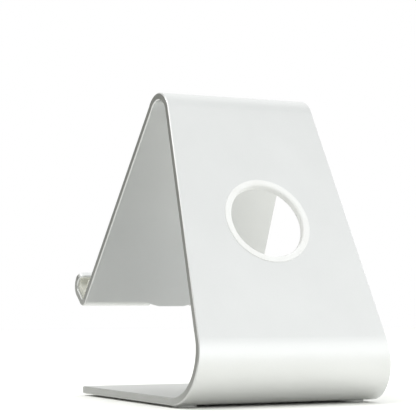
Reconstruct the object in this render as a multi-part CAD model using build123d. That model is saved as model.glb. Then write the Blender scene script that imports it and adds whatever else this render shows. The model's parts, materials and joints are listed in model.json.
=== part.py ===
"""A tablet stand: one bent aluminium strip with a lined cable hole, four feet and a lined trough.

Right-handed frame in millimetres. +Z is up and z = 0 is the surface that the feet stand on.
+X is the left-hand side of somebody facing the tablet from behind the stand, -Y is the side
that the tablet faces, and the origin is the middle of the bounding box, at its bottom.
The strip is described by its centre line in the YZ plane. It starts at the front edge of the
base, runs back, bends up into the leg, bends over at the top into the panel that carries the
tablet, and ends in a lip that curls up in front of it.
"""
from build123d import *
from math import cos, radians, sin, tan
import os

# ---- the strip, in the order of its centre line ----
plate = 3.2                  # thickness of the sheet
edge_bevel = 0.4             # bevel along every long edge of the sheet
base_length = 97.6           # flat part of the base, front edge to rear bend
base_width = 95.2
base_corner = 2.5            # rounding of the two front corners
rear_bend_radius = 19.0      # outer radius
leg_lean = 25.6              # lean of the leg from upright, degrees
leg_length = 108.7           # flat part of the leg
leg_foot_width = 87.4        # width where the leg leaves the rear bend
top_bend_radius = 11.6       # outer radius
top_width = 71.0
panel_lean = 33.1            # lean of the panel from upright, degrees
panel_length = 99.0          # flat part of the panel
lip_width = 88.6
heel_radius = 1.5            # inner radius of the bend between panel and lip
floor_rise = 5.0             # rise of the trough's floor towards the front, degrees
trough_width = 9.9           # panel face to the inner face of the lip
lip_bend_radius = 2.3        # inner radius of the bend that turns the lip up
lip_tip_length = 4.4         # flat part above that bend
lip_tip_corner = 3.0         # rounding of the corners of the lip

# ---- the notch in the middle of the lip ----
notch_width = 21.0
tongue_drop = 3.0            # the panel runs on this far, unbent, inside the notch
tongue_flat = 12.6           # width of its lowest edge
tongue_shoulder = 1.9        # drop of the tongue at the sides of the notch
tongue_blend = 30.0          # width over which the tongue fades into the bend
tongue_bevel = 0.25

# ---- the cable hole and its lining ----
hole_height = 53.7           # up the leg's outer face, from the end of the rear bend
hole_bore = 33.4             # clear bore of the lining
liner_wall = 1.2             # wall of the lining inside the hole
hole_clearance = 0.1         # radial play between the lining and the sheet
collar_width = 2.9           # the ring that shows on the leg's outer face
collar_height = 0.4
back_collar_width = 2.3      # the ring on the inner face
back_collar_height = 0.6
grommet_round = 0.3

# ---- feet ----
foot_diameter = 10.0
foot_height = 1.0            # how far a foot stands out of the base
foot_recess = 0.5            # how deep it is let into the base
recess_clearance = 0.1       # radial play in the recess
foot_round = 0.35
rear_foot_side = 8.0         # centre of a rear foot to the side edge of the base
rear_foot_back = 4.2         # centre of a rear foot to the start of the rear bend
front_foot_side = 13.0
front_foot_front = 14.0      # centre of a front foot to the front edge

# ---- silicone under and behind the tablet ----
pad_thickness = 1.3          # the gap that the pads keep behind the tablet
pad_diameter = 12.0
pad_spacing = 44.0           # between the two pads
pad_drop = 16.0              # centre of a pad below the top bend
pad_round = 0.4
lining_floor = 2.6           # thickness under the tablet
lining_front = 0.9           # thickness on the lip
lining_up_panel = 9.0        # how far the lining reaches up the panel, from the heel bend
lining_below_tip = 0.8       # how far it stops short of the lip's edge
lining_inset = 0.9           # from the side edges of the lip, and from the notch
lining_inner_radius = 1.2
lining_edge_round = 0.3

LEFT, RIGHT = 1, -1
lower = (Align.CENTER, Align.CENTER, Align.MIN)
half_plate = plate / 2
hole_radius = hole_bore / 2 + liner_wall + hole_clearance
punch_length = 4 * plate     # long enough to pass through the sheet from its outer face


class Stroke:
    """A point on the strip's centre line, and the way the line runs there."""

    def __init__(self, y, z, heading):
        self.y, self.z, self.heading = y, z, heading

    def along(self, distance):
        """The point that lies straight ahead."""
        turn = radians(self.heading)
        return Stroke(self.y + distance * cos(turn), self.z + distance * sin(turn), self.heading)

    def aside(self, distance):
        """The point to the left of the way the line runs, which is the bends' inner side."""
        turn = radians(self.heading)
        return Stroke(self.y - distance * sin(turn), self.z + distance * cos(turn), self.heading)

    def bend(self, radius, angle):
        """The point after an arc of the centre line. A negative angle bends to the right."""
        side = radius if angle > 0 else -radius
        centre = self.aside(side)
        turned = Stroke(centre.y, centre.z, self.heading + angle)
        return turned.aside(-side)

    def plane(self):
        """The plane across the strip: local x along the width, local y to the outer side."""
        turn = radians(self.heading)
        return Plane(origin=(0, self.y, self.z), x_dir=(1, 0, 0), z_dir=(0, cos(turn), sin(turn)))


# ---- the centre line ----
leg_turn = 90 + leg_lean
top_turn = 180 - leg_lean - panel_lean
heel_turn = 90 + floor_rise
tip_turn = 90 - floor_rise
rear_mid_radius = rear_bend_radius - half_plate
top_mid_radius = top_bend_radius - half_plate
heel_mid_radius = heel_radius + half_plate
lip_mid_radius = lip_bend_radius + half_plate
floor_length = (trough_width / cos(radians(floor_rise))
                - heel_radius * tan(radians(heel_turn / 2))
                - lip_bend_radius * tan(radians(tip_turn / 2)))


def centre_line(front_y):
    """The ends of every stretch of the strip, from the front edge of the base to the lip."""
    stops = {"front": Stroke(front_y, foot_height + half_plate, 0.0)}
    stops["rear"] = stops["front"].along(base_length)
    stops["leg"] = stops["rear"].bend(rear_mid_radius, leg_turn)
    stops["top"] = stops["leg"].along(leg_length)
    stops["panel"] = stops["top"].bend(top_mid_radius, top_turn)
    stops["heel"] = stops["panel"].along(panel_length)
    stops["floor"] = stops["heel"].bend(heel_mid_radius, -heel_turn)
    stops["toe"] = stops["floor"].along(floor_length)
    stops["tip"] = stops["toe"].bend(lip_mid_radius, -tip_turn)
    stops["end"] = stops["tip"].along(lip_tip_length)
    return stops


# The box runs from the foremost point of the lip's bend to the back of the rear bend.
draft = centre_line(0.0)
box_front = draft["tip"].aside(lip_mid_radius * -1).y - lip_mid_radius - half_plate
box_back = base_length + rear_bend_radius
line = centre_line(-(box_front + box_back) / 2)


def cross_section(stop, width, middle=0.0):
    """The strip's bevelled cross-section at one stop, as the list of its corners."""
    half, inner = width / 2, half_plate - edge_bevel
    corners = [(half - edge_bevel, half_plate), (half, inner), (half, -inner),
               (half - edge_bevel, -half_plate), (edge_bevel - half, -half_plate),
               (-half, -inner), (-half, inner), (edge_bevel - half, half_plate)]
    frame = stop.plane()
    return [frame.from_local_coords(Vector(x + middle, y, 0)) for x, y in corners]


def outline_face(corners):
    """A flat face with the given corners."""
    return Face(Wire.make_polygon(corners, close=True))


def straight_stretch(start, start_width, end, end_width, middle=0.0):
    """A flat stretch of the strip, whose sides may run together."""
    first = cross_section(start, start_width, middle)
    last = cross_section(end, end_width, middle)
    count = len(first)
    walls = [outline_face([first[i], first[(i + 1) % count], last[(i + 1) % count], last[i]])
             for i in range(count)]
    return Solid(Shell([outline_face(first), outline_face(last)] + walls))


def even_bend(start, radius, angle, width, middle=0.0):
    """A bend of even width. The radius is the centre line's."""
    side = radius if angle > 0 else -radius
    centre = start.aside(side)
    pivot = Axis((0, centre.y, centre.z), (1 if angle > 0 else -1, 0, 0))
    return revolve(outline_face(cross_section(start, width, middle)), pivot, abs(angle))


def tapered_bend(start, radius, angle, start_width, end_width, steps=12):
    """A bend whose width changes evenly with the angle.

    It is an even bend, trimmed at both sides and bevelled by a block of the right width.
    """
    reach = 1.0                  # how far the block stands out of both faces of the sheet
    blocks = []
    for step in range(steps + 1):
        share = step / steps
        half = (start_width + (end_width - start_width) * share) / 2
        shoulder = half - edge_bevel - reach
        right = [(shoulder, half_plate + reach), (half, half_plate - edge_bevel),
                 (half, edge_bevel - half_plate), (shoulder, -half_plate - reach)]
        left = [(-x, y) for x, y in reversed(right)]
        frame = (start.bend(radius, angle * share) if step else start).plane()
        blocks.append(outline_face([frame.from_local_coords(Vector(x, y, 0)) for x, y in right + left]))
    side = radius if angle > 0 else -radius
    centre = start.aside(side)
    pivot = Axis((0, centre.y, centre.z), (1 if angle > 0 else -1, 0, 0))
    strip = revolve(start.plane() * Rectangle(2 * max(start_width, end_width), plate), pivot, abs(angle))
    return strip & loft(blocks)


def free_end(root, tip, width, middle, corner, bevel):
    """A flat stretch that ends the strip, with its two far corners rounded and its edges bevelled."""
    run = Vector(0, tip.y - root.y, tip.z - root.z)
    frame = Plane(origin=(middle, root.y, root.z), x_dir=(1, 0, 0), z_dir=Vector(1, 0, 0).cross(run))
    outline = frame * Pos(0, run.length / 2) * Rectangle(width, run.length)
    far_corners = outline.vertices().sort_by(Axis(frame.origin, run))[-2:]
    slab = extrude(fillet(far_corners, corner), half_plate, both=True)
    return bevel_outline(slab, frame, bevel)


def bevel_outline(slab, frame, bevel):
    """Bevel a slab all round, on both faces, apart from the edge that lies on the frame's x axis."""
    rims = ShapeList()
    for face in slab.faces().filter_by(Axis(frame.origin, frame.z_dir)):
        rims += face.edges()
    free = [edge for edge in rims if frame.to_local_coords(edge.center()).Y > bevel]
    return chamfer(free, bevel)


def base_plate():
    """The flat base, from the rear bend to its front edge."""
    return free_end(line["rear"], line["front"], base_width, 0.0, base_corner, edge_bevel)


def lip_half(side):
    """The part of the lip on one side of the notch: heel bend, floor, lip bend and upright tip."""
    width = (lip_width - notch_width) / 2
    middle = side * (lip_width + notch_width) / 4
    heel = even_bend(line["heel"], heel_mid_radius, -heel_turn, width, middle)
    floor = straight_stretch(line["floor"], width, line["toe"], width, middle)
    toe = even_bend(line["toe"], lip_mid_radius, -tip_turn, width, middle)
    tip = free_end(line["tip"], line["end"], width, middle, lip_tip_corner, edge_bevel)
    return [heel, floor, toe, tip]


def tongue():
    """The middle of the panel's lower edge. The bend never reached it, so it runs straight on."""
    heel = line["heel"]
    across = Vector(1, 0, 0)
    run = Vector(0, cos(radians(heel.heading)), sin(radians(heel.heading)))
    frame = Plane(origin=(0, heel.y, heel.z), x_dir=across, z_dir=across.cross(run))
    right = [(tongue_blend / 2, 0), (notch_width / 2, tongue_shoulder), (tongue_flat / 2, tongue_drop)]
    left = [(-x, y) for x, y in reversed(right)]
    outline = frame * make_face(Polyline(*right, *left, close=True))
    return bevel_outline(extrude(outline, half_plate, both=True), frame, tongue_bevel)


def hole_frame():
    """The plane on the leg's outer face, centred on the cable hole, with its z axis outwards."""
    centre = line["leg"].along(hole_height).aside(-half_plate)
    turn = radians(centre.heading)
    return Plane(origin=(0, centre.y, centre.z), x_dir=(1, 0, 0), z_dir=(0, sin(turn), -cos(turn)))


def panel_frame(distance, middle=0.0):
    """The plane on the panel's front face, a distance below the top bend, with z out to the front."""
    point = line["panel"].along(distance).aside(-half_plate)
    turn = radians(point.heading)
    return Plane(origin=(middle, point.y, point.z), x_dir=(1, 0, 0), z_dir=(0, sin(turn), -cos(turn)))


def foot_places():
    """The name of every foot, with its x and y."""
    places = {}
    for name, side in (("left", LEFT), ("right", RIGHT)):
        rear_x = side * (base_width / 2 - rear_foot_side)
        front_x = side * (base_width / 2 - front_foot_side)
        places["foot_rear_" + name] = (rear_x, line["rear"].y - rear_foot_back)
        places["foot_front_" + name] = (front_x, line["front"].y + front_foot_front)
    return places


def stand_body():
    """The whole bent strip, with its cable hole and the shallow recesses for the feet."""
    rear = tapered_bend(line["rear"], rear_mid_radius, leg_turn, base_width, leg_foot_width)
    leg = straight_stretch(line["leg"], leg_foot_width, line["top"], top_width)
    top = even_bend(line["top"], top_mid_radius, top_turn, top_width)
    panel = straight_stretch(line["panel"], top_width, line["heel"], lip_width)
    strip = base_plate().fuse(rear, leg, top, panel, tongue(), *lip_half(LEFT), *lip_half(RIGHT))
    strip -= hole_frame() * Cylinder(hole_radius, punch_length)
    recess = Cylinder(foot_diameter / 2 + recess_clearance, foot_recess, align=lower)
    for x, y in foot_places().values():
        strip -= Pos(x, y, foot_height) * recess
    return strip


def cable_grommet():
    """A flanged ring that lines the cable hole and grips the sheet from both faces."""
    bore = hole_bore / 2
    wall = bore + liner_wall
    collar = bore + collar_width
    back = bore + back_collar_width
    inside = -plate - back_collar_height
    section = make_face(Polyline((bore, collar_height), (collar, collar_height), (collar, 0), (wall, 0),
                                 (wall, -plate), (back, -plate), (back, inside), (bore, inside),
                                 close=True))
    rounded = [corner for corner in section.vertices()
               if corner.Y > collar_height / 2 or corner.Y < -plate - back_collar_height / 2]
    ring = revolve(Plane.XZ * fillet(rounded, grommet_round), Axis.Z)
    return hole_frame() * ring


def foot(x, y):
    """A soft disc let into the base, rounded where it meets the desk."""
    disc = Cylinder(foot_diameter / 2, foot_height + foot_recess, align=lower)
    disc = fillet(disc.edges().sort_by(Axis.Z)[0], foot_round)
    return Pos(x, y, 0) * disc


def rest_pad(side):
    """A soft disc high on the panel that the tablet's back leans on."""
    disc = Cylinder(pad_diameter / 2, pad_thickness, align=lower)
    disc = fillet(disc.edges().sort_by(Axis.Z)[-1], pad_round)
    return panel_frame(pad_drop, side * pad_spacing / 2) * disc


def lining_section():
    """The lining's section: x out from the panel's face, y down the panel from the heel bend."""
    rise = radians(floor_rise)
    slope = tan(rise)
    heel_corner = heel_radius * tan(radians(heel_turn / 2))
    toe_corner = heel_corner - trough_width * slope
    lip_top = toe_corner - lip_bend_radius * tan(radians(tip_turn / 2)) - lip_tip_length + lining_below_tip
    inner_floor = heel_corner - lining_floor / cos(rise)
    front_face = trough_width - lining_front
    inner_heel = inner_floor - pad_thickness * slope
    inner_toe = inner_floor - front_face * slope
    below = FilletPolyline((0, -lining_up_panel), (0, heel_corner), (trough_width, toe_corner),
                           (trough_width, lip_top), radius=[heel_radius, lip_bend_radius])
    above = FilletPolyline((pad_thickness, -lining_up_panel), (pad_thickness, inner_heel),
                           (front_face, inner_toe), (front_face, lip_top), radius=lining_inner_radius)
    ends = [Line(below @ 0, above @ 0), Line(below @ 1, above @ 1)]
    section = make_face([below, above] + ends)
    open_ends = (above @ 0, above @ 1)
    free = [corner for corner in section.vertices()
            if min((Vector(corner) - end).length for end in open_ends) < lining_edge_round / 2]
    return fillet(free, lining_edge_round)


def lip_liner(side):
    """One half of the soft channel that lines the trough, beside the notch."""
    length = (lip_width - notch_width) / 2 - 2 * lining_inset
    middle = side * (lip_width + notch_width) / 4
    heel = line["heel"].aside(-half_plate)
    turn = radians(heel.heading)
    outwards = (0, sin(turn), -cos(turn))
    frame = Plane(origin=(middle, heel.y, heel.z), x_dir=outwards, z_dir=(1, 0, 0))
    return extrude(frame * lining_section(), length / 2, both=True)


nodes = {"stand_body": stand_body(), "cable_grommet": cable_grommet()}
for foot_name, (foot_x, foot_y) in foot_places().items():
    nodes[foot_name] = foot(foot_x, foot_y)
for side_name, side_sign in (("left", LEFT), ("right", RIGHT)):
    nodes["rest_pad_" + side_name] = rest_pad(side_sign)
    nodes["lip_liner_" + side_name] = lip_liner(side_sign)

os.makedirs("parts", exist_ok=True)
for node_name, shape in nodes.items():
    export_step(shape, "parts/" + node_name + ".step")
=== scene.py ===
"""Visual model of an angled tablet stand bent from one aluminium strip.

The bent strip keeps its exact metal shape and gets its blasted, anodised
finish. The moulded ring in the cable hole, the clear feet, the two rest pads
and the two trough liners are modelled here and stand for their plain solids.
Lengths are in metres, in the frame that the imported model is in.
"""

import json
import logging
import math
from dataclasses import dataclass, field
from enum import Enum
from typing import Any, Iterable, Mapping, Sequence, Union

import bmesh
import bpy
from mathutils import Matrix, Vector


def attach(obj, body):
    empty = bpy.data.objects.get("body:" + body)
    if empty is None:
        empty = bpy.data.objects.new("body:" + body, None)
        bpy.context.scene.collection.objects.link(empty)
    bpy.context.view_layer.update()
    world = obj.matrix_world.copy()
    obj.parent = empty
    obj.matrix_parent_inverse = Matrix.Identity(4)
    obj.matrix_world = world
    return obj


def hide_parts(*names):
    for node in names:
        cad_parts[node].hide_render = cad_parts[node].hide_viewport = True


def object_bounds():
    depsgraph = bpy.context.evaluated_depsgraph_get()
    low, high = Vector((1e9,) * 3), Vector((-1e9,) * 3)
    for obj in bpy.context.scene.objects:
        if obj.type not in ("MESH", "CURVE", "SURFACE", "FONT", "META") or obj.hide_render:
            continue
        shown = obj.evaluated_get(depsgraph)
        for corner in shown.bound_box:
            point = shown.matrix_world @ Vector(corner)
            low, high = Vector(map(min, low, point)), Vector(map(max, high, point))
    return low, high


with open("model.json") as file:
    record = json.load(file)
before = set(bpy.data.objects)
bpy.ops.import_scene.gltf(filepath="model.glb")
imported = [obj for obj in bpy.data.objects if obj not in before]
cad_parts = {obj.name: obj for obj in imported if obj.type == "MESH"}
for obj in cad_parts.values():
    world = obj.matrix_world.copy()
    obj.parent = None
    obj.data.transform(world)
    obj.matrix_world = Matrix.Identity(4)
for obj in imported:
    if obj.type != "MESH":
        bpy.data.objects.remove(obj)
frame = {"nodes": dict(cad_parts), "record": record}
CAD_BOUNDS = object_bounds()

LOG = logging.getLogger("tablet_stand")
MM = 0.001
BODY = "root"
SIDEWAYS = Vector((1.0, 0.0, 0.0))
UPWARDS = Vector((0.0, 0.0, 1.0))
EVEN = 0.5  # the middle of a noise
FLAT_WEIGHT = 80  # how strongly a large flat face keeps its own shading

Colour = tuple[float, float, float]
Number = Union[int, float]
Input = Union["Link", Number, Sequence[float]]


# ---------------------------------------------------------------- shader nodes


class Link:
    """A node's output that arithmetic can be written with."""

    def __init__(self, graph: "Graph", socket: bpy.types.NodeSocket) -> None:
        """Keeps the graph that new nodes go in, and the socket.

        Args:
            graph: The node graph that the socket belongs to.
            socket: The output that the link stands for.
        """
        self.graph = graph
        self.socket = socket

    def __add__(self, other: "Input") -> "Link":
        """The sum of this and another value."""
        return self.graph.math("ADD", self, other)

    def __sub__(self, other: "Input") -> "Link":
        """This less another value."""
        return self.graph.math("SUBTRACT", self, other)

    def __mul__(self, other: "Input") -> "Link":
        """The product of this and another value."""
        return self.graph.math("MULTIPLY", self, other)

    def __radd__(self, other: "Input") -> "Link":
        """The sum of another value and this."""
        return self.graph.math("ADD", other, self)

    def __rsub__(self, other: "Input") -> "Link":
        """Another value less this."""
        return self.graph.math("SUBTRACT", other, self)

    def __rmul__(self, other: "Input") -> "Link":
        """The product of another value and this."""
        return self.graph.math("MULTIPLY", other, self)

    def __abs__(self) -> "Link":
        """The value without its sign."""
        return self.graph.math("ABSOLUTE", self)


class Graph:
    """The nodes of one material or of the world."""

    def __init__(self, tree: bpy.types.NodeTree) -> None:
        """Empties the tree, ready for new nodes.

        Args:
            tree: The node tree that new nodes go in.
        """
        self.tree = tree
        tree.nodes.clear()

    @staticmethod
    def socket(
        sockets: Iterable[bpy.types.NodeSocket], key: str
    ) -> bpy.types.NodeSocket:
        """Finds a socket by its identifier, or else by its name.

        Args:
            sockets: The inputs or the outputs of a node.
            key: An identifier such as "Value_001", or a name.

        Returns:
            The socket.

        Raises:
            KeyError: If the node has no such socket.
        """
        known = list(sockets)
        for attribute in ("identifier", "name"):
            for candidate in known:
                if getattr(candidate, attribute) == key:
                    return candidate
        raise KeyError(f"no socket {key!r} among {[s.identifier for s in known]}")

    def node(
        self,
        kind: str,
        settings: Mapping[str, Any] | None = None,
        inputs: Mapping[str, Input] | None = None,
    ) -> bpy.types.Node:
        """Adds one node, sets it up and feeds its sockets.

        Args:
            kind: The node's type.
            settings: Its own settings, set first.
            inputs: A value or a link for each socket.

        Returns:
            The new node.
        """
        made = self.tree.nodes.new(kind)
        for name, value in (settings or {}).items():
            setattr(made, name, value)
        for name, value in (inputs or {}).items():
            target = self.socket(made.inputs, name)
            if isinstance(value, Link):
                self.tree.links.new(value.socket, target)
            else:
                target.default_value = value
        return made

    def output(self, made: bpy.types.Node, key: str) -> Link:
        """A node's output, as a link."""
        return Link(self, self.socket(made.outputs, key))

    def math(self, operation: str, *values: Input) -> Link:
        """Adds a Math node on values and links.

        Args:
            operation: The Math node's operation.
            *values: Its values or links, in order.

        Returns:
            The result.
        """
        keys = ("Value", "Value_001", "Value_002")
        made = self.node(
            "ShaderNodeMath", {"operation": operation}, dict(zip(keys, values))
        )
        return self.output(made, "Value")

    def limits(self, value: Link, low: float, high: float) -> Link:
        """A smooth step from 0 at low to 1 at high.

        Args:
            value: The value to measure.
            low: Where the step starts.
            high: Where the step ends, which may be under low.

        Returns:
            The step.
        """
        made = self.node(
            "ShaderNodeMapRange",
            {"interpolation_type": "SMOOTHSTEP"},
            {"Value": value, "From Min": low, "From Max": high},
        )
        return self.output(made, "Result")

    def along(self, vector: Link, axis: Colour) -> Link:
        """How far a vector reaches along an axis.

        Args:
            vector: The vector.
            axis: The axis.

        Returns:
            Their dot product.
        """
        made = self.node(
            "ShaderNodeVectorMath",
            {"operation": "DOT_PRODUCT"},
            {"Vector": vector, "Vector_001": axis},
        )
        return self.output(made, "Value")

    def blend(self, factor: Link, first: Input, second: Input) -> Link:
        """Mixes two colours.

        Args:
            factor: 0 for the first colour and 1 for the second.
            first: A colour or a link to one.
            second: A colour or a link to one.

        Returns:
            The mixed colour.
        """
        made = self.node(
            "ShaderNodeMix",
            {"data_type": "RGBA"},
            {"Factor_Float": factor, "A_Color": first, "B_Color": second},
        )
        return self.output(made, "Result_Color")

    def place(self) -> Link:
        """The point on the piece, in metres."""
        return self.output(self.node("ShaderNodeTexCoord"), "Object")

    def noise(self, grain: float, detail: float = 2.0, roughness: float = 0.5) -> Link:
        """Even noise around a half, over the piece.

        Args:
            grain: How far apart its blotches are, in metres.
            detail: How many finer layers it has.
            roughness: How strong the finer layers are.

        Returns:
            The noise.
        """
        made = self.node(
            "ShaderNodeTexNoise",
            {"noise_dimensions": "3D"},
            {
                "Vector": self.place(),
                "Scale": 1.0 / grain,
                "Detail": detail,
                "Roughness": roughness,
            },
        )
        return self.output(made, "Fac")

    def relief(self, height: Link, depth: float, strength: float) -> Link:
        """A bump from a height.

        Args:
            height: The height, from 0 to 1.
            depth: What a height of 1 stands for, in metres.
            strength: How much of the bump shows.

        Returns:
            The bumped normal.
        """
        made = self.node(
            "ShaderNodeBump",
            None,
            {"Strength": strength, "Distance": depth, "Height": height},
        )
        return self.output(made, "Normal")

    def surface(self, inputs: Mapping[str, Input]) -> None:
        """Adds the Principled shader with these inputs, and the output."""
        shader = self.node("ShaderNodeBsdfPrincipled", None, inputs)
        self.node(
            "ShaderNodeOutputMaterial", None, {"Surface": self.output(shader, "BSDF")}
        )


def rgba(colour: Colour) -> tuple[float, float, float, float]:
    """A colour with full alpha."""
    return (*colour, 1.0)


# -------------------------------------------------------------------- finishes


@dataclass(frozen=True)
class BlastedAluminium:
    """Fine bead-blasted, clear anodised aluminium, with painted shade on its cut sides.

    The sides of the strip and their bevels are told from its flats and bends by
    how far the surface faces sideways, which is nothing on the flats and bends.
    Both are painted darker than the flats, the sides most: painted shade for the
    little light that the sideways faces get.
    """

    name: str = "blasted_aluminium"
    tone: Colour = (0.683, 0.690, 0.681)
    pale_tone: Colour = (0.711, 0.718, 0.709)
    # painted shade: darker copies of the metal's tone for the bevels and the cut sides
    bevel_shade_tone: Colour = (0.560, 0.566, 0.557)
    cut_shade_tone: Colour = (0.466, 0.472, 0.460)
    roughness: float = 0.40
    bevel_roughness: float = 0.36
    blast_grain: float = 0.22 * MM
    blast_depth: float = 0.012 * MM
    roll_grain: float = 9.0 * MM
    tone_grain: float = 26.0 * MM
    bevel_normal: float = math.sqrt(0.5)
    bevel_out: float = 0.16
    bevel_in: float = 0.06
    cut_from: float = 0.86
    cut_full: float = 0.93
    speck_from: float = 0.35
    speck_full: float = 0.68
    speck_share: float = 0.3
    tone_from: float = 0.25
    tone_full: float = 0.75
    uneven_mottle: float = 0.10
    uneven_blast: float = 0.10
    uneven_roll: float = 0.05
    blast_strength: float = 0.35

    def material(self) -> bpy.types.Material:
        """Makes the finish.

        Returns:
            The material.
        """
        made = bpy.data.materials.new(self.name)
        made.use_nodes = True
        graph = Graph(made.node_tree)
        facing = graph.output(graph.node("ShaderNodeNewGeometry"), "Normal")
        parts = graph.node("ShaderNodeSeparateXYZ", None, {"Vector": facing})
        lean = abs(graph.output(parts, "X"))
        off_bevel = abs(lean - self.bevel_normal)
        bevel = graph.limits(off_bevel, self.bevel_out, self.bevel_in)
        cut = graph.limits(lean, self.cut_from, self.cut_full)
        mottle = graph.noise(self.tone_grain, detail=4.0, roughness=0.55)
        blast = graph.noise(self.blast_grain, detail=3.0, roughness=0.6)
        roll = graph.noise(self.roll_grain, detail=2.0)
        speck = graph.limits(blast, self.speck_from, self.speck_full)
        mixed = mottle * (1.0 - self.speck_share) + speck * self.speck_share
        tone = graph.limits(mixed, self.tone_from, self.tone_full)
        field_colour = graph.blend(tone, rgba(self.tone), rgba(self.pale_tone))
        # painted shade: the bevels darker than the flats, the cut sides darker still
        colour = graph.blend(bevel, field_colour, rgba(self.bevel_shade_tone))
        colour = graph.blend(cut, colour, rgba(self.cut_shade_tone))
        uneven = (
            (mottle - EVEN) * self.uneven_mottle
            + (blast - EVEN) * self.uneven_blast
            + (roll - EVEN) * self.uneven_roll
        )
        rough = uneven + self.roughness
        rough = rough + bevel * (self.bevel_roughness - self.roughness)
        normal = graph.relief(blast, self.blast_depth, self.blast_strength)
        graph.surface(
            {
                "Base Color": colour,
                "Metallic": 1.0,
                "Roughness": rough,
                "Normal": normal,
            }
        )
        return made


@dataclass(frozen=True)
class MouldedPlastic:
    """White moulded plastic, smooth, with a faint skin."""

    name: str = "white_moulded_plastic"
    tone: Colour = (0.735, 0.740, 0.730)
    worn_tone: Colour = (0.710, 0.710, 0.695)
    roughness: float = 0.36
    skin_grain: float = 0.35 * MM
    skin_depth: float = 0.01 * MM
    skin_strength: float = 0.3
    flow_grain: float = 7.0 * MM
    worn_from: float = 0.35
    worn_full: float = 0.75
    uneven_flow: float = 0.12
    uneven_skin: float = 0.08
    ior: float = 1.49

    def material(self) -> bpy.types.Material:
        """Makes the finish.

        Returns:
            The material.
        """
        made = bpy.data.materials.new(self.name)
        made.use_nodes = True
        graph = Graph(made.node_tree)
        skin = graph.noise(self.skin_grain, detail=2.0)
        flow = graph.noise(self.flow_grain, detail=3.0)
        worn = graph.limits(flow, self.worn_from, self.worn_full)
        colour = graph.blend(worn, rgba(self.tone), rgba(self.worn_tone))
        uneven = (flow - EVEN) * self.uneven_flow + (skin - EVEN) * self.uneven_skin
        rough = uneven + self.roughness
        graph.surface(
            {
                "Base Color": colour,
                "Roughness": rough,
                "IOR": self.ior,
                "Normal": graph.relief(skin, self.skin_depth, self.skin_strength),
            }
        )
        return made


@dataclass(frozen=True)
class SoftSilicone:
    """Matt, slightly see-through silicone that catches fine dust."""

    name: str
    tone: Colour
    dusty_tone: Colour
    roughness: float = 0.58
    skin_grain: float = 0.30 * MM
    skin_depth: float = 0.02 * MM
    skin_strength: float = 0.4
    dust_grain: float = 3.5 * MM
    dust_from: float = 0.42
    dust_full: float = 0.70
    uneven_skin: float = 0.10
    dusty_roughness: float = 0.12
    ior: float = 1.42
    glow: float = 0.25
    glow_depth: float = 1.2 * MM
    glow_reach: Colour = (1.0, 0.95, 0.85)

    def material(self) -> bpy.types.Material:
        """Makes the finish.

        Returns:
            The material.
        """
        made = bpy.data.materials.new(self.name)
        made.use_nodes = True
        graph = Graph(made.node_tree)
        skin = graph.noise(self.skin_grain, detail=3.0)
        dust = graph.noise(self.dust_grain, detail=5.0, roughness=0.6)
        dusty = graph.limits(dust, self.dust_from, self.dust_full)
        colour = graph.blend(dusty, rgba(self.tone), rgba(self.dusty_tone))
        uneven = (skin - EVEN) * self.uneven_skin + dusty * self.dusty_roughness
        rough = uneven + self.roughness
        graph.surface(
            {
                "Base Color": colour,
                "Roughness": rough,
                "IOR": self.ior,
                "Subsurface Weight": self.glow,
                "Subsurface Radius": self.glow_reach,
                "Subsurface Scale": self.glow_depth,
                "Normal": graph.relief(skin, self.skin_depth, self.skin_strength),
            }
        )
        return made


@dataclass(frozen=True)
class ClearPolyurethane:
    """Clear soft polyurethane, hazed where it has been pressed."""

    name: str = "clear_polyurethane"
    tone: Colour = (0.91, 0.92, 0.90)
    hazed_tone: Colour = (0.85, 0.86, 0.84)
    roughness: float = 0.34
    haze_grain: float = 1.4 * MM
    haze_from: float = 0.40
    haze_full: float = 0.70
    hazed_roughness: float = 0.18
    skin_depth: float = 0.02 * MM
    skin_strength: float = 0.25
    ior: float = 1.48
    clearness: float = 0.30

    def material(self) -> bpy.types.Material:
        """Makes the finish.

        Returns:
            The material.
        """
        made = bpy.data.materials.new(self.name)
        made.use_nodes = True
        graph = Graph(made.node_tree)
        haze = graph.noise(self.haze_grain, detail=4.0)
        hazed = graph.limits(haze, self.haze_from, self.haze_full)
        graph.surface(
            {
                "Base Color": graph.blend(
                    hazed, rgba(self.tone), rgba(self.hazed_tone)
                ),
                "Roughness": hazed * self.hazed_roughness + self.roughness,
                "IOR": self.ior,
                "Transmission Weight": self.clearness,
                "Normal": graph.relief(haze, self.skin_depth, self.skin_strength),
            }
        )
        return made


@dataclass(frozen=True)
class MattFloor:
    """Plain pale floor paint."""

    name: str = "matt_floor"
    tone: Colour = (0.955, 0.955, 0.925)
    roughness: float = 0.9
    gloss: float = 0.1

    def material(self) -> bpy.types.Material:
        """Makes the finish.

        Returns:
            The material.
        """
        made = bpy.data.materials.new(self.name)
        made.use_nodes = True
        graph = Graph(made.node_tree)
        graph.surface(
            {
                "Base Color": rgba(self.tone),
                "Roughness": self.roughness,
                "Specular IOR Level": self.gloss,
            }
        )
        return made


# ------------------------------------------------------------- where parts are


class Side(Enum):
    """The two sides of the stand, as seen from the lip."""

    LEFT = "left"
    RIGHT = "right"


class Row(Enum):
    """The two rows of feet."""

    FRONT = "front"
    REAR = "rear"


def reach(node: str, axis: Vector) -> tuple[float, float]:
    """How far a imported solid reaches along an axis.

    Args:
        node: The solid's name.
        axis: A direction of length 1.

    Returns:
        Its lowest and its highest place along the axis.
    """
    places = [axis.dot(v.co) for v in frame["nodes"][node].data.vertices]
    return min(places), max(places)


def mount_of(name: str) -> Mapping[str, Any]:
    """The record's mount of this name."""
    return next(m for m in frame["record"]["mounts"] if m["name"] == name)


def mount_axis(name: str) -> Vector:
    """The outward direction of one of the record's mounts."""
    return Vector(mount_of(name)["axis"]).normalized()


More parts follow.
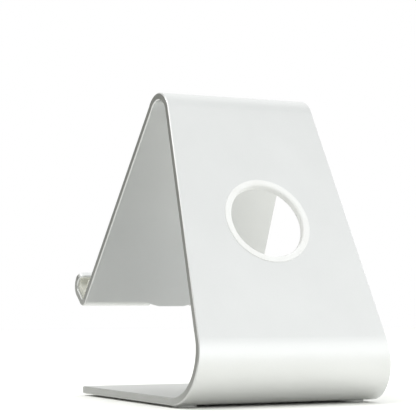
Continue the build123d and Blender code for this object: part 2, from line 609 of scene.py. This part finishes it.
@dataclass(frozen=True)
class Seat:
    """The place of one solid: a frame at the middle of its lower face."""

    node: str
    out: Vector

    @property
    def along(self) -> Vector:
        """The direction in the seat's plane that is square to sideways."""
        return self.out.cross(SIDEWAYS).normalized()

    @property
    def height(self) -> float:
        """The solid's height along the seat's outward direction."""
        low, high = reach(self.node, self.out)
        return high - low

    @property
    def width(self) -> float:
        """The solid's width, sideways."""
        low, high = reach(self.node, SIDEWAYS)
        return high - low

    def matrix(self) -> Matrix:
        """The frame itself: x sideways, y along, z outwards.

        Returns:
            The matrix that takes a mesh from the seat to its real place.
        """
        low, _ = reach(self.node, self.out)
        axes = (SIDEWAYS, self.along, self.out)
        middles = [sum(reach(self.node, axis)) / 2 for axis in axes[:2]]
        origin = axes[0] * middles[0] + axes[1] * middles[1] + self.out * low
        turned = Matrix([list(axis) for axis in axes]).transposed().to_4x4()
        return Matrix.Translation(origin) @ turned


# --------------------------------------------------------------- making meshes


@dataclass(frozen=True)
class Corner:
    """A corner of a section, and how far its round reaches along each side."""

    x: float
    y: float
    reach: float = 0.0


class Shape:
    """A mesh in the making, drawn about its own origin and then put in place."""

    ROUND_STEPS = 6
    END_STEPS = 4
    WELD = 0.001 * MM
    SHARP = 50.0  # degrees

    def __init__(self) -> None:
        """Starts with nothing in it."""
        self.bm = bmesh.new()

    def outline(
        self, corners: Sequence[Corner], closed: bool
    ) -> list[bmesh.types.BMEdge]:
        """Draws a section and rounds its corners.

        Args:
            corners: The corners in order, in the x, z plane.
            closed: Whether the last corner joins the first.

        Returns:
            The section's edges.
        """
        points = [self.bm.verts.new((c.x, 0.0, c.y)) for c in corners]
        pairs = list(zip(points, points[1:]))
        if closed:
            pairs.append((points[-1], points[0]))
        for pair in pairs:
            self.bm.edges.new(pair)
        for corner, point in zip(corners, points):
            if corner.reach > 0.0:
                bmesh.ops.bevel(
                    self.bm,
                    geom=[point],
                    offset=corner.reach,
                    offset_type="OFFSET",
                    segments=self.ROUND_STEPS,
                    profile=0.5,
                    affect="VERTICES",
                    material=-1,
                )
        return list(self.bm.edges)

    def lathe(self, corners: Sequence[Corner], steps: int, closed: bool) -> None:
        """Turns a section about the z axis.

        Args:
            corners: The section, x out from the axis and y up it.
            steps: The number of steps round.
            closed: Whether the section is a closed ring.
        """
        edges = self.outline(corners, closed)
        bmesh.ops.spin(
            self.bm,
            geom=edges + list(self.bm.verts),
            cent=(0.0, 0.0, 0.0),
            axis=(0.0, 0.0, 1.0),
            angle=math.tau,
            steps=steps,
            use_merge=True,
        )
        self.tidy()

    def prism(self, corners: Sequence[Corner], length: float, end_round: float) -> None:
        """Draws out a section along y, with softly rounded ends.

        Args:
            corners: The section's corners in order.
            length: The length over both ends.
            end_round: The radius of the rounds at the ends.
        """
        edges = self.outline(corners, closed=True)
        start = bmesh.ops.contextual_create(self.bm, geom=edges)["faces"]
        middle = length / 2 - end_round
        bmesh.ops.translate(self.bm, vec=(0.0, -middle, 0.0), verts=list(self.bm.verts))
        drawn = bmesh.ops.extrude_face_region(self.bm, geom=start, use_keep_orig=True)
        moved = [v for v in drawn["geom"] if isinstance(v, bmesh.types.BMVert)]
        far = [f for f in drawn["geom"] if isinstance(f, bmesh.types.BMFace)]
        bmesh.ops.translate(self.bm, vec=(0.0, 2 * middle, 0.0), verts=moved)
        bmesh.ops.recalc_face_normals(self.bm, faces=list(self.bm.faces))
        turns = [math.pi / 2 * i / self.END_STEPS for i in range(self.END_STEPS + 1)]
        for cap in (start[0], far[0]):
            for turn, after in zip(turns, turns[1:]):
                bmesh.ops.inset_region(
                    self.bm,
                    faces=[cap],
                    thickness=end_round * (math.cos(turn) - math.cos(after)),
                    depth=end_round * (math.sin(after) - math.sin(turn)),
                    use_even_offset=True,
                )
        self.tidy()

    def tidy(self) -> None:
        """Welds doubles and turns every face outwards."""
        bmesh.ops.remove_doubles(self.bm, verts=list(self.bm.verts), dist=self.WELD)
        bmesh.ops.dissolve_degenerate(
            self.bm, edges=list(self.bm.edges), dist=self.WELD / 10
        )
        bmesh.ops.recalc_face_normals(self.bm, faces=list(self.bm.faces))

    def finish(self, name: str, matrix: Matrix) -> bpy.types.Object:
        """Puts the mesh in its place and makes it an object.

        Args:
            name: The object's name.
            matrix: Where the mesh goes.

        Returns:
            The object, at the origin.
        """
        bmesh.ops.transform(self.bm, matrix=matrix, verts=list(self.bm.verts))
        mesh = bpy.data.meshes.new(name)
        self.bm.to_mesh(mesh)
        self.bm.free()
        mesh.shade_smooth()
        mesh.set_sharp_from_angle(angle=math.radians(self.SHARP))
        made = bpy.data.objects.new(name, mesh)
        bpy.context.scene.collection.objects.link(made)
        return made


def even_shading(piece: bpy.types.Object) -> None:
    """Lets the flat faces keep their own shading beside the rounds.

    Args:
        piece: The piece to shade.
    """
    weighted = piece.modifiers.new("even_shading", "WEIGHTED_NORMAL")
    weighted.keep_sharp = True
    weighted.weight = FLAT_WEIGHT


def dress(piece: bpy.types.Object, finish: bpy.types.Material) -> None:
    """Gives a piece one finish all over."""
    piece.data.materials.clear()
    piece.data.materials.append(finish)


def install(
    piece: bpy.types.Object,
    node: str,
    finish: bpy.types.Material,
) -> bpy.types.Object:
    """Dresses a new piece, and puts it on the stand for its solid.

    Args:
        piece: The finished piece.
        node: The solid that it stands for.
        finish: Its material.

    Returns:
        The piece.
    """
    dress(piece, finish)
    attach(piece, BODY)
    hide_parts(node)
    LOG.info("%s: %d faces, stands for %s", piece.name, len(piece.data.polygons), node)
    return piece


# -------------------------------------------------------------- sub-assemblies


@dataclass
class BentStrip:
    """The one bent strip: base, leg, panel and the two halves of the lip."""

    node: str = "stand_body"
    finish: BlastedAluminium = field(default_factory=BlastedAluminium)

    def build(self) -> bpy.types.Object:
        """Dresses the strip, whose shape is already exact.

        Returns:
            The strip.
        """
        strip = frame["nodes"][self.node]
        dress(strip, self.finish.material())
        LOG.info("%s: dressed", strip.name)
        return strip


@dataclass
class CableGrommet:
    """The flanged ring in the cable hole, gripping the sheet from both faces."""

    node: str = "cable_grommet"
    collar_height: float = 0.4 * MM
    back_height: float = 0.6 * MM
    wall: float = 1.2 * MM
    back_collar: float = 2.3 * MM
    outer_round: float = 0.30 * MM
    front_mouth: float = 0.90 * MM
    back_mouth: float = 1.30 * MM
    crown: float = 0.08 * MM
    crown_from: float = 0.9
    crown_to: float = 1.2
    steps: int = 160
    finish: MouldedPlastic = field(default_factory=MouldedPlastic)

    def build(self) -> bpy.types.Object:
        """Turns the ring and sets it in the hole.

        Returns:
            The ring.
        """
        mount = mount_of("cable_pass")
        seat = Seat(self.node, mount_axis("cable_pass"))
        bore = mount["dims"]["r_mm"] * MM
        collar = seat.width / 2
        wall = bore + self.wall
        back = bore + self.back_collar
        top = seat.height
        face = top - self.collar_height
        rim = (collar - bore) / 2
        section = (
            Corner(bore, top - self.crown, self.front_mouth),
            Corner(bore + rim * self.crown_from, top),
            Corner(bore + rim * self.crown_to, top),
            Corner(collar, top - self.crown, self.outer_round),
            Corner(collar, face),
            Corner(wall, face),
            Corner(wall, self.back_height),
            Corner(back, self.back_height),
            Corner(back, 0.0, self.outer_round),
            Corner(bore, 0.0, self.back_mouth),
        )
        shape = Shape()
        shape.lathe(section, self.steps, closed=True)
        ring = shape.finish("grommet_ring", seat.matrix())
        even_shading(ring)
        return install(ring, self.node, self.finish.material())


@dataclass
class Feet:
    """Four soft discs let into the base."""

    round: float = 0.42 * MM
    top_round: float = 0.12 * MM
    hollow: float = 0.10 * MM
    hollow_inner: float = 0.55
    hollow_outer: float = 0.70
    hollow_round: float = 0.10
    steps: int = 72
    finish: ClearPolyurethane = field(default_factory=ClearPolyurethane)

    def section(self, radius: float, height: float) -> tuple[Corner, ...]:
        """A foot's section: a shallow hollow below, and a rounded edge.

        Args:
            radius: The foot's radius.
            height: The foot's height.

        Returns:
            The corners from the middle below to the middle above.
        """
        return (
            Corner(0.0, self.hollow),
            Corner(radius * self.hollow_inner, self.hollow, radius * self.hollow_round),
            Corner(radius * self.hollow_outer, 0.0, radius * self.hollow_round),
            Corner(radius, 0.0, self.round),
            Corner(radius, height, self.top_round),
            Corner(0.0, height),
        )

    def build(self) -> list[bpy.types.Object]:
        """Turns the four feet.

        Returns:
            The feet.
        """
        clear = self.finish.material()
        made = []
        for row in Row:
            for side in Side:
                node = f"foot_{row.value}_{side.value}"
                seat = Seat(node, UPWARDS)
                shape = Shape()
                shape.lathe(
                    self.section(seat.width / 2, seat.height), self.steps, closed=False
                )
                name = f"clear_{node}"
                disc = shape.finish(name, seat.matrix())
                even_shading(disc)
                made.append(install(disc, node, clear))
        return made


@dataclass
class RestPads:
    """Two soft discs on the panel that the tablet's back leans on."""

    round: float = 0.42 * MM
    crown: float = 0.12 * MM
    crown_to: float = 0.45
    crown_round: float = 0.2
    steps: int = 96
    finish: SoftSilicone = field(
        default_factory=lambda: SoftSilicone(
            "pad_silicone", (0.62, 0.62, 0.58), (0.66, 0.66, 0.625)
        )
    )

    def build(self) -> list[bpy.types.Object]:
        """Turns the two pads.

        Returns:
            The pads.
        """
        soft = self.finish.material()
        made = []
        for side in Side:
            node = f"rest_pad_{side.value}"
            seat = Seat(node, mount_axis("tablet_back_rest"))
            radius, height = seat.width / 2, seat.height
            section = (
                Corner(0.0, 0.0),
                Corner(radius, 0.0),
                Corner(radius, height - self.crown, self.round),
                Corner(radius * self.crown_to, height, radius * self.crown_round),
                Corner(0.0, height),
            )
            shape = Shape()
            shape.lathe(section, self.steps, closed=False)
            disc = shape.finish(f"silicone_{node}", seat.matrix())
            even_shading(disc)
            made.append(install(disc, node, soft))
        return made


@dataclass
class LipLiners:
    """The two soft channels that line the trough, one each side of the notch."""

    floor_rise: float = math.radians(5.0)
    tip_turn: float = math.radians(85.0)
    heel_radius: float = 1.5 * MM
    toe_radius: float = 2.3 * MM
    inner_radius: float = 1.2 * MM
    trough_width: float = 9.9 * MM
    back_wall: float = 1.3 * MM
    front_wall: float = 0.9 * MM
    floor: float = 2.6 * MM
    up_panel: float = 9.0 * MM
    up_lip: float = 3.6 * MM
    free_round: float = 0.30 * MM
    end_round: float = 0.25 * MM
    # painted shade: the silicone's own cream grey, darkened to stand for the shadow of a
    # tablet resting in the trough
    finish: SoftSilicone = field(
        default_factory=lambda: SoftSilicone(
            "trough_silicone", (0.525, 0.525, 0.470), (0.56, 0.56, 0.508)
        )
    )

    def section(self) -> tuple[Corner, ...]:
        """The channel's section: x out from the panel, y up it from the bend.

        Returns:
            The corners, down the panel, along the trough, up the lip and back.
        """
        heel_turn = math.pi - self.tip_turn
        slope = math.tan(self.floor_rise)
        heel_reach = self.heel_radius * math.tan(heel_turn / 2)
        toe_reach = self.toe_radius * math.tan(self.tip_turn / 2)
        toe = self.trough_width * slope - heel_reach
        lip_top = toe + toe_reach + self.up_lip
        inner_floor = self.floor / math.cos(self.floor_rise) - heel_reach
        inner_lip = self.trough_width - self.front_wall
        return (
            Corner(0.0, self.up_panel),
            Corner(0.0, -heel_reach, heel_reach),
            Corner(self.trough_width, toe, toe_reach),
            Corner(self.trough_width, lip_top),
            Corner(inner_lip, lip_top, self.free_round),
            Corner(
                inner_lip,
                inner_floor + inner_lip * slope,
                self.inner_radius * math.tan(self.tip_turn / 2),
            ),
            Corner(
                self.back_wall,
                inner_floor + self.back_wall * slope,
                self.inner_radius * math.tan(heel_turn / 2),
            ),
            Corner(self.back_wall, self.up_panel, self.free_round),
        )

    def seat(self, node: str) -> Matrix:
        """Where a channel goes: against the panel, from the start of the bend.

        Args:
            node: The solid that the channel stands for.

        Returns:
            The matrix that takes the drawn section to its place.
        """
        out = mount_axis("tablet_back_rest")
        up_panel = SIDEWAYS.cross(out) * -1.0
        low, _ = reach(node, out)
        bottom, _ = reach(node, up_panel)
        middle = sum(reach(node, SIDEWAYS)) / 2
        origin = (
            SIDEWAYS * middle + out * low + up_panel * (bottom + self.heel_radius)
        )
        turned = Matrix([list(out), list(SIDEWAYS), list(up_panel)]).transposed()
        return Matrix.Translation(origin) @ turned.to_4x4()

    def build(self) -> list[bpy.types.Object]:
        """Draws out the two channels.

        Returns:
            The channels.
        """
        soft = self.finish.material()
        made = []
        for side in Side:
            node = f"lip_liner_{side.value}"
            low, high = reach(node, SIDEWAYS)
            shape = Shape()
            shape.prism(self.section(), high - low, self.end_round)
            channel = shape.finish(f"silicone_{node}", self.seat(node))
            even_shading(channel)
            made.append(install(channel, node, soft))
        return made


# ---------------------------------------------------------------------- studio


@dataclass
class Camera:
    """The camera, low behind the stand and a little to its right."""

    place: Colour = (0.31011, 0.61689, 0.04209)
    forward: Colour = (-0.4397, -0.8960, 0.0626)
    lens: float = 134.44
    sensor: float = 36.0
    nearest: float = 0.01
    farthest: float = 50.0

    def build(self) -> bpy.types.Object:
        """Makes the camera and looks through it.

        Returns:
            The camera.
        """
        data = bpy.data.cameras.new("camera")
        data.lens = self.lens
        data.sensor_width = self.sensor
        data.sensor_fit = "HORIZONTAL"
        data.clip_start = self.nearest
        data.clip_end = self.farthest
        made = bpy.data.objects.new("camera", data)
        forward = Vector(self.forward).normalized()
        right = forward.cross(UPWARDS).normalized()
        up = right.cross(forward)
        turned = Matrix([list(right), list(up), list(-forward)]).transposed()
        made.matrix_world = Matrix.Translation(self.place) @ turned.to_4x4()
        bpy.context.scene.collection.objects.link(made)
        bpy.context.scene.camera = made
        return made


@dataclass(frozen=True)
class Softbox:
    """A large soft light that faces the stand."""

    name: str
    place: Colour
    width: float
    height: float
    power: float
    aim: Colour = (0.0, 0.0, 0.05)

    def build(self) -> bpy.types.Object:
        """Makes the light.

        Returns:
            The light.
        """
        data = bpy.data.lights.new(self.name, "AREA")
        data.shape = "RECTANGLE"
        data.size = self.width
        data.size_y = self.height
        data.energy = self.power
        made = bpy.data.objects.new(self.name, data)
        towards = Vector(self.aim) - Vector(self.place)
        turn = towards.to_track_quat("-Z", "Y").to_matrix().to_4x4()
        made.matrix_world = Matrix.Translation(self.place) @ turn
        bpy.context.scene.collection.objects.link(made)
        return made


@dataclass
class Studio:
    """The pale floor, the soft room light and the softboxes."""

    floor_size: float = 3.2
    floor_squares: int = 4
    bright_tone: Colour = (0.988, 1.0, 1.003)
    dim_tone: Colour = (1.0, 1.0, 0.93)
    backdrop_tone: Colour = (1.0, 1.0, 1.0)
    dim: float = 0.34
    bright: float = 1.075
    towards_light: Colour = (-0.8, 0.5, 1.0)
    dim_below: float = -0.55
    bright_above: float = 0.55
    glow: float = 0.54
    towards_glow: Colour = (-0.43, 0.88, 0.18)
    glow_from: float = 0.78
    glow_full: float = 0.99
    floor: MattFloor = field(default_factory=MattFloor)
    softboxes: tuple[Softbox, ...] = (
        Softbox("side_softbox", (-1.3, -0.2, 0.4), 1.0, 0.7, 4.0),
        Softbox("front_softbox", (-0.3, -1.2, 1.6), 2.4, 1.8, 2.6),
        Softbox("top_softbox", (0.80, 0.20, 1.4), 1.4, 0.9, 9.0),
    )

    def build_floor(self) -> bpy.types.Object:
        """Lays the floor at the height of the feet.

        Returns:
            The floor.
        """
        low, _ = CAD_BOUNDS
        shape = Shape()
        bmesh.ops.create_grid(
            shape.bm,
            x_segments=self.floor_squares,
            y_segments=self.floor_squares,
            size=self.floor_size / 2,
        )
        made = shape.finish("floor", Matrix.Translation((0.0, 0.0, low.z)))
        dress(made, self.floor.material())
        return made

    def build_room(self) -> bpy.types.World:
        """Makes the room's light: bright behind and above, dimmer in front.

        Returns:
            The world.
        """
        world = bpy.data.worlds.new("studio")
        world.use_nodes = True
        bpy.context.scene.world = world
        graph = Graph(world.node_tree)
        direction = graph.output(graph.node("ShaderNodeTexCoord"), "Generated")
        share = graph.limits(
            graph.along(direction, self.towards_light),
            self.dim_below,
            self.bright_above,
        )
        glow = graph.limits(
            graph.along(direction, self.towards_glow), self.glow_from, self.glow_full
        )
        light = graph.node(
            "ShaderNodeBackground",
            None,
            {
                "Color": graph.blend(
                    share, rgba(self.dim_tone), rgba(self.bright_tone)
                ),
                "Strength": share * (self.bright - self.dim)
                + glow * self.glow
                + self.dim,
            },
        )
        backdrop = graph.node(
            "ShaderNodeBackground",
            None,
            {"Color": rgba(self.backdrop_tone), "Strength": 1.0},
        )
        seen = graph.output(graph.node("ShaderNodeLightPath"), "Is Camera Ray")
        either = graph.node(
            "ShaderNodeMixShader",
            None,
            {
                "Fac": seen,
                "Shader": graph.output(light, "Background"),
                "Shader_001": graph.output(backdrop, "Background"),
            },
        )
        graph.node(
            "ShaderNodeOutputWorld", None, {"Surface": graph.output(either, "Shader")}
        )
        return world

    def build(self) -> None:
        """Makes the whole studio."""
        self.build_floor()
        self.build_room()
        for softbox in self.softboxes:
            softbox.build()
        view = bpy.context.scene.view_settings
        view.view_transform = "Standard"
        view.look = "None"
        LOG.info("studio: %d softboxes", len(self.softboxes))


def main() -> None:
    """Builds the stand, then the studio around it."""
    logging.basicConfig(level=logging.INFO, format="%(name)s: %(message)s")
    for part in (BentStrip(), CableGrommet(), Feet(), RestPads(), LipLiners()):
        part.build()
    Camera().build()
    Studio().build()


if __name__ == "__main__":
    main()
